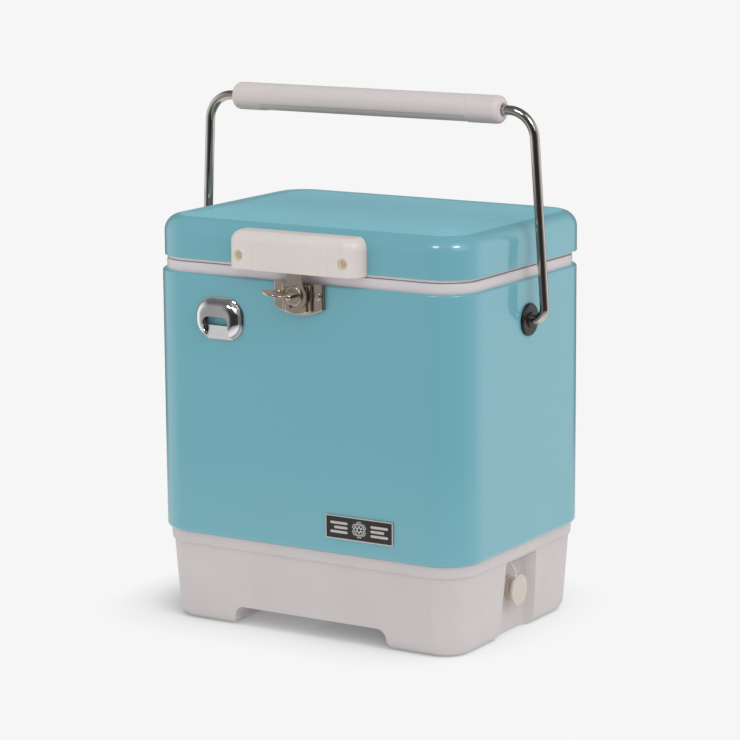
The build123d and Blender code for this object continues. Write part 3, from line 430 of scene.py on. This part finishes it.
def drain_strap():
    """Soft retaining strap: it hangs from the bay's roof, slacks outward and runs down to the cap's rim."""
    spine, widths = [], []
    for step in range(STRAP_STEPS + 1):
        t = step / STRAP_STEPS
        slack = math.sin(math.pi * t)
        x = STRAP_TOP[0] + STRAP_OUT * t + STRAP_SLACK * slack
        y = STRAP_TOP[1] + STRAP_ALONG * t - STRAP_SWAY * math.sin(2 * math.pi * t)
        spine.append((x, y, STRAP_TOP[2] - STRAP_DROP * t))
        widths.append(STRAP_WIDTH - STRAP_WAIST * slack)
    mesh = ribbon("drain_strap", spine, widths, STRAP_THICK, (0, 1, 0))
    strap = piece("drain_strap", mesh, "cap_plastic", None)
    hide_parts("drain_tether")
    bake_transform(strap)


GRIP_Y, GRIP_Z = -3.813, 533.265
GRIP_HALF = 158.5
GRIP_R = 14.15
GRIP_END_ROUND = 6.8
RECESS_HALF = 121.0
RECESS_FROM, RECESS_TO = math.radians(27), math.radians(150)
RECESS_DEPTH = 0.65
RECESS_RUN_OUT, RECESS_EDGE = 2.2, 0.07  # mm along the sleeve, radians around it
SEAM_X = 123.0
SEAM_DEPTH, SEAM_HALF = 0.5, 0.7
SEAM_LEAN = 6.0
SOCKETS = ((2.0, 4.80), (2.0, 5.6), (0.6, 6.2))  # depth from the end, radius
FINE_TO, FINE_STEP = 112.0, 0.5
COARSE_TO, COARSE_STEP = 8.0, 6.0
GRIP_SIDES, END_STEPS = 144, 12
PLAIN_BELOW = 0.9  # radius scale under which a row has no seam or recess


def ease(value, low, high):
    """Smooth step from 0 at low to 1 at high."""
    t = min(1.0, max(0.0, (value - low) / (high - low)))
    return t * t * (3 - 2 * t)


def grip_radius(x, angle):
    """Sleeve radius at a station and an angle counted downwards from the front."""
    seam = SEAM_X + (SEAM_LEAN * math.sin(angle) if x > 0 else 0.0)
    groove = max(0.0, 1.0 - abs(abs(x) - seam) / SEAM_HALF)
    along = ease(RECESS_HALF - abs(x), 0.0, RECESS_RUN_OUT)
    around = ease(angle, RECESS_FROM, RECESS_FROM + RECESS_EDGE)
    around *= ease(-angle, -RECESS_TO, RECESS_EDGE - RECESS_TO)
    return GRIP_R - SEAM_DEPTH * groove - RECESS_DEPTH * along * around


def grip_stations():
    """(x, radius scale) rows from one bore to the other, close together where the form changes."""
    half = [(GRIP_HALF - depth, radius / GRIP_R) for depth, radius in SOCKETS]
    flat = GRIP_R - GRIP_END_ROUND
    half.append((GRIP_HALF, flat / GRIP_R))
    for step in range(1, END_STEPS + 1):
        turn = math.pi / 2 * step / END_STEPS
        x = GRIP_HALF - GRIP_END_ROUND * (1 - math.cos(turn))
        half.append((x, (flat + GRIP_END_ROUND * math.sin(turn)) / GRIP_R))
    x = GRIP_HALF - GRIP_END_ROUND
    for stop, stride in ((FINE_TO, FINE_STEP), (COARSE_TO, COARSE_STEP)):
        while x > stop:
            x -= stride
            half.append((x, 1.0))
    left = [(-x, scale) for x, scale in half]
    return left + half[::-1]


def grip_sleeve():
    """Grip sleeve with a long recess underneath, thin seams at its ends and dished sockets."""
    rows = grip_stations()
    verts = []
    for x, scale in rows:
        for step in range(GRIP_SIDES):
            angle = 2 * math.pi * step / GRIP_SIDES - math.pi / 2
            radius = (grip_radius(x, angle) if scale > PLAIN_BELOW else GRIP_R) * scale
            y = GRIP_Y - radius * math.cos(angle)
            z = GRIP_Z - radius * math.sin(angle)
            verts.append((x * MM, y * MM, z * MM))
    mesh = wrapped("grip_sleeve", verts, len(rows), GRIP_SIDES)
    sleeve = piece("grip_sleeve", mesh, "grip_plastic", "grip")
    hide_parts("bail_grip")


nameplate_motif()
recess_sleeves()
drain_strap()
grip_sleeve()


# ------------------------------------------------------------------ floor, light and camera
def area(name, place, target, width, height, power):
    """Rectangular lamp that faces a target."""
    data = bpy.data.lights.new(name, "AREA")
    data.shape = "RECTANGLE"
    data.size = width
    data.size_y = height
    data.energy = power
    lamp = bpy.data.objects.new(name, data)
    lamp.location = place
    lamp.rotation_euler = (Vector(target) - Vector(place)).to_track_quat("-Z", "Y").to_euler()
    bpy.context.scene.collection.objects.link(lamp)
    return lamp


def sun(name, direction, strength, angle):
    """Sun that shines along a direction, with its width in degrees."""
    data = bpy.data.lights.new(name, "SUN")
    data.energy = strength
    data.angle = math.radians(angle)
    lamp = bpy.data.objects.new(name, data)
    lamp.rotation_euler = Vector(direction).to_track_quat("-Z", "Y").to_euler()
    bpy.context.scene.collection.objects.link(lamp)


def fill_ramp(ramp, stops):
    """Sets a colour ramp from (place, colour) stops in rising order."""
    ramp.elements[0].position = stops[0][0]
    ramp.elements[1].position = stops[-1][0]
    for place, _ in stops[1:-1]:
        ramp.elements.new(place)
    for element, (_, colour) in zip(ramp.elements, stops):
        element.color = (*colour, 1)


BACKDROP = 0.922
# painted shadow: floor colour from full occlusion up to the even backdrop
FLOOR_PAINTED_SHADOW_STOPS = (
    (0.0, (0.06, 0.058, 0.058)),
    (0.45, (0.50, 0.49, 0.49)),
    (0.70, (0.82, 0.815, 0.815)),
    (0.93, (BACKDROP, BACKDROP, BACKDROP)),
)
SHADE_REACH = 0.11
SHADE_LEAN = (0.60, -0.25, 0.75)
SHADE_SAMPLES = 32
FLOOR_SIZE = 60.0
MIRROR_FLOOR_NEAR = 0.30  # mirrors see the floor up to here and lose it by MIRROR_FLOOR_FAR
MIRROR_FLOOR_FAR = 1.10


def floor_paper():
    """Overexposed studio paper: an even glow that only darkens, as a painted shadow, where the object shuts
    out the light.
    """
    material = bpy.data.materials.new("floor_paper")
    material.use_nodes = True
    tree = material.node_tree
    tree.nodes.clear()
    output = tree.nodes.new("ShaderNodeOutputMaterial")
    glow = tree.nodes.new("ShaderNodeEmission")
    painted_shadow_occlusion = tree.nodes.new("ShaderNodeAmbientOcclusion")
    painted_shadow_occlusion.samples = SHADE_SAMPLES
    painted_shadow_occlusion.inputs["Distance"].default_value = SHADE_REACH
    lean = tree.nodes.new("ShaderNodeCombineXYZ")
    for axis, value in zip("XYZ", SHADE_LEAN):
        lean.inputs[axis].default_value = value
    tone = tree.nodes.new("ShaderNodeValToRGB")
    fill_ramp(tone.color_ramp, FLOOR_PAINTED_SHADOW_STOPS)
    tree.links.new(lean.outputs[0], painted_shadow_occlusion.inputs["Normal"])
    tree.links.new(painted_shadow_occlusion.outputs["AO"], tone.inputs["Fac"])
    tree.links.new(tone.outputs["Color"], glow.inputs["Color"])
    path = tree.nodes.new("ShaderNodeLightPath")
    spot = tree.nodes.new("ShaderNodeNewGeometry")
    reach = tree.nodes.new("ShaderNodeVectorMath")
    reach.operation = "LENGTH"
    tree.links.new(spot.outputs["Position"], reach.inputs[0])
    far = tree.nodes.new("ShaderNodeMapRange")
    far.inputs["From Min"].default_value = MIRROR_FLOOR_NEAR
    far.inputs["From Max"].default_value = MIRROR_FLOOR_FAR
    tree.links.new(reach.outputs["Value"], far.inputs["Value"])
    lost = tree.nodes.new("ShaderNodeMath")
    lost.operation = "MULTIPLY"
    tree.links.new(far.outputs["Result"], lost.inputs[0])
    tree.links.new(path.outputs["Is Glossy Ray"], lost.inputs[1])
    clear = tree.nodes.new("ShaderNodeBsdfTransparent")
    mix = tree.nodes.new("ShaderNodeMixShader")
    tree.links.new(lost.outputs[0], mix.inputs["Fac"])
    tree.links.new(glow.outputs[0], mix.inputs[1])
    tree.links.new(clear.outputs[0], mix.inputs[2])
    tree.links.new(mix.outputs[0], output.inputs[0])
    return material


def studio_floor():
    """Large flat sheet that is scenery, not part of the object."""
    mesh = bpy.data.meshes.new("floor")
    half = FLOOR_SIZE / 2
    corners = [(-half, -half, 0), (half, -half, 0), (half, half, 0), (-half, half, 0)]
    mesh.from_pydata(corners, [], [(0, 1, 2, 3)])
    floor = bpy.data.objects.new("floor", mesh)
    bpy.context.scene.collection.objects.link(floor)
    mesh.materials.append(floor_paper())


WORLD_FILL = 0.70
FILL_DOWN, FILL_UP = 0.72, 1.45  # fill from straight below and straight above, over WORLD_FILL
MIRROR_AXIS = Vector((0.52, -0.85, 0.0)).normalized()
MIRROR_WALLS = (  # place between dead behind and dead ahead, brightness
    (0.0, 0.14),
    (0.10, 0.14),
    (0.20, 0.90),
    (0.45, 0.95),
    (0.56, 0.50),
    (0.73, 0.30),
    (0.86, 0.05),
    (1.0, 0.03),
)
MIRROR_LEVEL = 1.05
MIRROR_ROOF = 0.14
ROOF_FROM, ROOF_TO = 0.25, 0.70  # how steeply a mirror looks up where the roof begins and is whole


def studio_world():
    """Even surround; mirrors see bright walls to both sides, dim ones before and behind, and a dim roof."""
    world = bpy.data.worlds.new("studio")
    bpy.context.scene.world = world
    world.use_nodes = True
    tree = world.node_tree
    tree.nodes.clear()

    def node(kind, **inputs):
        made = tree.nodes.new(kind)
        for key, value in inputs.items():
            made.inputs[key].default_value = value
        return made

    coords = node("ShaderNodeTexCoord")
    path = node("ShaderNodeLightPath")
    dot = node("ShaderNodeVectorMath")
    dot.operation = "DOT_PRODUCT"
    dot.inputs[1].default_value = MIRROR_AXIS
    tree.links.new(coords.outputs["Generated"], dot.inputs[0])
    turn = node("ShaderNodeMapRange")
    turn.inputs["From Min"].default_value = -1.0
    tree.links.new(dot.outputs["Value"], turn.inputs["Value"])
    walls = node("ShaderNodeValToRGB")
    fill_ramp(walls.color_ramp, [(place, (level, level, level)) for place, level in MIRROR_WALLS])
    tree.links.new(turn.outputs["Result"], walls.inputs["Fac"])
    height = node("ShaderNodeSeparateXYZ")
    tree.links.new(coords.outputs["Generated"], height.inputs[0])
    rise = node("ShaderNodeMapRange")
    rise.inputs["From Min"].default_value = ROOF_FROM
    rise.inputs["From Max"].default_value = ROOF_TO
    tree.links.new(height.outputs["Z"], rise.inputs["Value"])
    dome = node("ShaderNodeMix")
    dome.data_type = "RGBA"
    dome.inputs["B"].default_value = (MIRROR_ROOF, MIRROR_ROOF, MIRROR_ROOF, 1)
    tree.links.new(rise.outputs["Result"], dome.inputs["Factor"])
    tree.links.new(walls.outputs["Color"], dome.inputs["A"])
    mirror = node("ShaderNodeBackground", Strength=MIRROR_LEVEL)
    tree.links.new(dome.outputs["Result"], mirror.inputs["Color"])
    lift = node("ShaderNodeMapRange")
    lift.inputs["To Min"].default_value = WORLD_FILL * FILL_DOWN
    lift.inputs["To Max"].default_value = WORLD_FILL * FILL_UP
    tree.links.new(height.outputs["Z"], lift.inputs["Value"])
    fill = node("ShaderNodeBackground", Color=(1, 1, 1, 1))
    tree.links.new(lift.outputs["Result"], fill.inputs["Strength"])
    backdrop = node("ShaderNodeBackground", Color=(BACKDROP, BACKDROP, BACKDROP, 1))
    seen = node("ShaderNodeMixShader")
    tree.links.new(path.outputs["Is Glossy Ray"], seen.inputs["Fac"])
    tree.links.new(fill.outputs[0], seen.inputs[1])
    tree.links.new(mirror.outputs[0], seen.inputs[2])
    final = node("ShaderNodeMixShader")
    tree.links.new(path.outputs["Is Camera Ray"], final.inputs["Fac"])
    tree.links.new(seen.outputs[0], final.inputs[1])
    tree.links.new(backdrop.outputs[0], final.inputs[2])
    output = node("ShaderNodeOutputWorld")
    tree.links.new(final.outputs[0], output.inputs[0])


CAMERA_AZIMUTH = 31.63
CAMERA_ELEVATION = 10.96
CAMERA_ROLL = -0.406
CAMERA_DISTANCE = 3.0787
TARGET = Vector((0, 0, 0.2540))
FOCAL = 145.07
SENSOR_WIDTH = 36.0
SHIFT_X = -0.0010
SHIFT_Y = 0.0029


def studio_camera():
    """Camera on a sphere around the target, with a slight roll."""
    data = bpy.data.cameras.new("camera")
    data.lens = FOCAL
    data.sensor_width = SENSOR_WIDTH
    data.shift_x = SHIFT_X
    data.shift_y = SHIFT_Y
    camera = bpy.data.objects.new("camera", data)
    azimuth = math.radians(CAMERA_AZIMUTH)
    elevation = math.radians(CAMERA_ELEVATION)
    away = Vector(
        (
            math.sin(azimuth) * math.cos(elevation),
            -math.cos(azimuth) * math.cos(elevation),
            math.sin(elevation),
        )
    )
    camera.location = TARGET + away * CAMERA_DISTANCE
    turn = (-away).to_track_quat("-Z", "Y").to_matrix()
    roll = Matrix.Rotation(math.radians(CAMERA_ROLL), 3, "Z")
    camera.rotation_euler = (turn @ roll).to_euler()
    bpy.context.scene.collection.objects.link(camera)
    bpy.context.scene.camera = camera


SOFT_BOXES = (  # name, place, target, width, height, power
    ("right_box", (2.6, -0.6, 1.6), (0, 0, 0.25), 1.2, 1.6, 6),
    ("low_box", (-1.3, -1.7, 0.35), (0, 0, 0.2), 0.8, 0.5, 3),
)
LID_CORNER = Vector((0.155, -0.120, 0.4187))
LID_SPOTS = (("spot_near", (-0.107, -0.685, 0.719)), ("spot_far", (0.615, -0.293, 0.732)))
LID_SPOT = (2.2, 0.60, 0.50, 12)  # distance, width, height, power
OPENER_HOOD = Vector((-0.094, -0.140, 0.3277))
HOOD_GLINTS = (("glint_low", (0.40, -0.52, 0.75)), ("glint_high", (0.68, -0.30, 0.67)))
HOOD_GLINT = (2.0, 0.24, 0.24, 14)


def highlight(name, target, away, lamp):
    """Lamp that lights nothing and only shows in glossy faces, off a target along a direction."""
    distance, width, height, power = lamp
    made = area(name, target + distance * Vector(away), target, width, height, power)
    made.visible_diffuse = False
    return made


def studio_lights():
    """A wide sun, two soft boxes, and highlights on the lid's corner and the opener's hood."""
    sun("key", (-0.75, 0.25, -0.75), 0.50, 50)
    for box in SOFT_BOXES:
        area(*box).visible_glossy = False
    for name, away in LID_SPOTS:
        highlight(name, LID_CORNER, away, LID_SPOT)
    chrome_only = bpy.data.collections.new("chrome_only")
    chrome_only.objects.link(nodes["bottle_opener"])
    for name, away in HOOD_GLINTS:
        glint = highlight(name, OPENER_HOOD, away, HOOD_GLINT)
        glint.light_linking.receiver_collection = chrome_only


studio_floor()
studio_world()
studio_lights()
studio_camera()
bpy.context.scene.view_settings.view_transform = "Standard"
